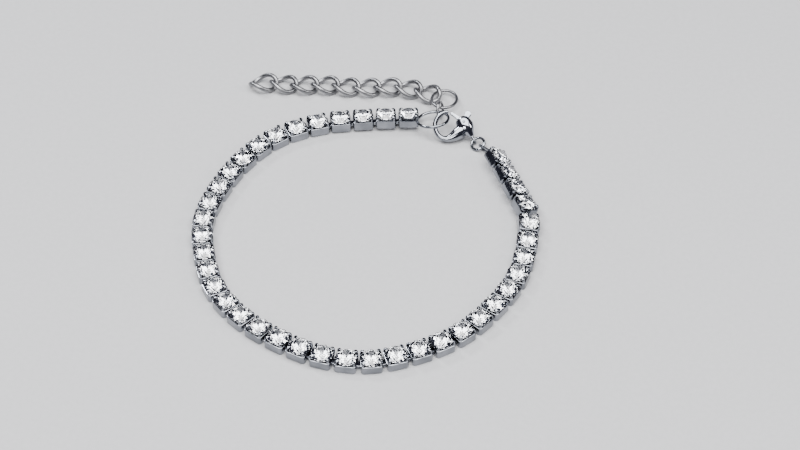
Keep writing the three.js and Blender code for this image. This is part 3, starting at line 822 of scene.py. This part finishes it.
def round_end(tip, half):
    """The rounded end of an arm, from its left side to its right, inside its square end."""
    forward = tip.normalized()
    right = side_of(tip, 1)
    angles = [math.pi * (step / END_STEPS - 0.5) for step in range(END_STEPS + 1)]
    return [tip + right * (half * math.sin(a)) + forward * (half * (math.cos(a) - 1)) for a in angles]


def lever_outline():
    """The lever's outline from its pivot: the arm, the crotch, the ear, and round the hub."""
    arm, ear = lever_arms()
    between = (arm.normalized() + ear.normalized()).normalized()
    crotch = between * (LEVER["hub"] * LEVER_CROTCH_SHARE)
    start = math.atan2(ear.y, ear.x) - math.asin(LEVER["ear"] / 2 / LEVER["hub"])
    end = math.atan2(arm.y, arm.x) + math.asin(LEVER["arm"] / 2 / LEVER["hub"]) - 2 * math.pi
    hub = [start + (end - start) * k / HUB_STEPS for k in range(HUB_STEPS + 1)]
    outline = round_end(arm + arm.normalized() * ARM_ROUNDING, LEVER["arm_tip"] / 2)
    outline.append(crotch)
    outline.extend(round_end(ear, LEVER["ear_tip"] / 2))
    outline.extend(Vector((LEVER["hub"] * math.cos(a), LEVER["hub"] * math.sin(a))) for a in hub)
    return outline


def slot_outline():
    """The slot in the body that the lever turns in, from its closed arm round to its open ear."""
    arm, ear = lever_arms()
    reach = BODY_WIDTH + BODY_DEPTH
    opened = Matrix.Rotation(-math.radians(LEVER_OPENING), 2) @ ear
    low = side_of(arm, -LEVER["arm"] / 2 - SLOT_CLEARANCE)
    right = side_of(opened, LEVER["ear_tip"] / 2 + SLOT_CLEARANCE)
    far_low = low + arm.normalized() * reach
    far_right = right + opened.normalized() * reach
    return [low, far_low, Vector((0, reach)), far_right, right]


def cutter(name, skin):
    """A passing object in millimetres, for cutting or joining."""
    made = bpy.data.objects.new(name, skin.mesh(name, 1.0))
    bpy.context.scene.collection.objects.link(made)
    return made


def clasp_body_mesh(place):
    """The body with the lever's slot in it, its claw and its eye, smoothed into one casting."""
    thickness = LEVER["thickness"] + 2 * SLOT_CLEARANCE
    slot = cutter("slot_cutter", slab(slot_outline(), thickness))
    hub = cutter("hub_cutter", barrel(LEVER["hub"] + SLOT_CLEARANCE, thickness))
    claw_part = cutter("claw_part", clasp_claw())
    eye_part = cutter("eye_part", clasp_eye())
    mesh = modified(
        clasp_trunk().mesh("clasp_body_mesh", 1.0),
        ("BOOLEAN", {"operation": "DIFFERENCE", "object": slot, "solver": "EXACT"}),
        ("BOOLEAN", {"operation": "UNION", "object": claw_part, "solver": "EXACT"}),
        ("BOOLEAN", {"operation": "UNION", "object": eye_part, "solver": "EXACT"}),
        ("BOOLEAN", {"operation": "DIFFERENCE", "object": hub, "solver": "EXACT"}),
        ("REMESH", {"mode": "VOXEL", "voxel_size": BODY_VOXEL}),
        ("SMOOTH", BODY_SMOOTHING),
    )
    for part in (slot, hub, claw_part, eye_part):
        bpy.data.objects.remove(part)
    mesh.transform(Matrix.Scale(MM, 4) @ place)
    return mesh


def rivet_skin():
    """The rivet through the lever, with a low domed head on each side of the body."""
    half = BODY_DEPTH / 2 + RIVET_PROUD
    right = Vector((1, 0, 0))
    lower = [(PIN_RADIUS * row["share"], -half + row["down"]) for row in RIVET_HEAD]
    upper = [(radius, -height) for radius, height in reversed(lower)]
    rings = []
    for radius, height in lower + upper:
        centre = pivot_point() + UP * height
        rings.append(oval(centre, right, UP.cross(right), radius, radius, RIVET_SIDES))
    skin = Skin()
    skin.loft(rings)
    return skin


def lever_mesh(place):
    """The lever as a plate with rounded edges and a bore for the rivet."""
    plate = slab(lever_outline(), LEVER["thickness"]).mesh("clasp_lever_mesh", 1.0)
    bore = cutter("bore_cutter", barrel(PIN_RADIUS + PIN_CLEARANCE, 2 * LEVER["thickness"]))
    mesh = modified(
        plate,
        ("BEVEL", LEVER_BEVEL),
        ("BOOLEAN", {"operation": "DIFFERENCE", "object": bore, "solver": "EXACT"}),
    )
    bpy.data.objects.remove(bore)
    mesh.transform(Matrix.Scale(MM, 4) @ place)
    return mesh


# Rings and links


def wire_piece(name, size, finish, slot, cut=0.0):
    """A ring or link as smooth wire in the place of its node."""
    path = moved(oval_path(size, cut=cut), loop_frame(name))
    skin = tube(path, size["wire"] / 2 - WIRE_TRIM, closed=not cut)
    piece(f"{name}_wire", skin.mesh(name), finish, slot, "bracelet", name)


# Floor, lights and camera


def floor():
    """A plain pale surface with a faint grain."""
    material, nodes, links, shader = new_material("pale_floor")
    grain = noise(nodes, links, **FLOOR["grain"])
    links.new(blended(nodes, links, grain, FLOOR["tones"]), shader.inputs["Base Color"])
    shader.inputs["Roughness"].default_value = FLOOR["roughness"]
    bpy.ops.mesh.primitive_plane_add(size=FLOOR["size"])
    plane = bpy.context.object
    plane.name = "floor"
    plane.data.materials.append(material)


def area_light(name, look):
    """A soft rectangular light that faces its aim."""
    light = bpy.data.lights.new(name, "AREA")
    light.shape = "RECTANGLE"
    light.size, light.size_y = look["size"]
    light.energy = look["power"]
    light.color = look["colour"]
    lamp = bpy.data.objects.new(name, light)
    bpy.context.scene.collection.objects.link(lamp)
    lamp.location = look["place"]
    lamp.rotation_mode = "QUATERNION"
    direction = Vector(look["aim"]) - Vector(look["place"])
    lamp.rotation_quaternion = direction.to_track_quat("-Z", "Y")


def lights():
    """The dim sky and the lights."""
    world = bpy.data.worlds.new("studio")
    world.use_nodes = True
    background = world.node_tree.nodes["Background"]
    background.inputs["Color"].default_value = SKY["colour"]
    background.inputs["Strength"].default_value = SKY["strength"]
    bpy.context.scene.world = world
    for name, look in LIGHTS.items():
        area_light(name, look)


def camera():
    """The photograph's camera, placed from the middle of the stones."""
    lows, highs = zip(*(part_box(f"stone_{k + 1:02d}") for k in range(STONE_COUNT)))
    middle_x = (min(p.x for p in lows) + max(p.x for p in highs)) / 2
    middle_y = (min(p.y for p in lows) + max(p.y for p in highs)) / 2
    lens = bpy.data.cameras.new("camera")
    lens.sensor_width = CAMERA_SENSOR
    lens.lens = CAMERA_LENS
    lens.clip_start = CAMERA_NEAR
    made = bpy.data.objects.new("camera", lens)
    bpy.context.scene.collection.objects.link(made)
    made.location = Vector((middle_x, middle_y, 0)) + CAMERA_FROM_STONES * MM
    made.rotation_euler = (math.radians(90 - CAMERA_DOWN), 0, 0)
    bpy.context.scene.camera = made


def main():
    """Dresses the frame and sets the scene."""
    polished = steel("polished_steel", POLISHED)
    satin = steel("satin_steel", SATIN)
    clear = crystal()
    cups = cup_frames()
    clasp = clasp_frame()
    camera()
    start = settings(cups, 0, FIRST_HALF)
    start.placed(end_loop(cups[0], clasp), Matrix.Identity(4))
    piece("settings_start", start.mesh("settings_start"), polished, "polished_steel", "bracelet",
          "settings_row_start")
    end = settings(cups, FIRST_HALF, STONE_COUNT)
    end.placed(staple(cups[-1], clasp), Matrix.Identity(4))
    piece("settings_end", end.mesh("settings_end"), polished, "polished_steel", "bracelet",
          "settings_row_end")
    for k in range(STONE_COUNT):
        stone = frame["nodes"][f"stone_{k + 1:02d}"]
        stone.data.materials.clear()
        stone.data.materials.append(clear)
    piece("clasp_casting", clasp_body_mesh(clasp), polished, "polished_steel", "bracelet", "clasp_body")
    rivet = Skin()
    rivet.placed(rivet_skin(), clasp)
    piece("clasp_rivet", rivet.mesh("clasp_rivet"), polished, "polished_steel", "bracelet")
    piece("clasp_gate", lever_mesh(clasp), polished, "polished_steel", "lever", "clasp_lever")
    wire_piece("tail_ring", TAIL_RING, polished, "polished_steel", RING_CUT)
    wire_piece("extension_ring_small", SMALL_RING, satin, "satin_steel", RING_CUT)
    wire_piece("extension_ring_large", LARGE_RING, satin, "satin_steel", RING_CUT)
    for k in range(CHAIN_COUNT):
        wire_piece(f"extension_link_{k + 1}", CHAIN_LINK, satin, "satin_steel")
    floor()
    lights()


main()
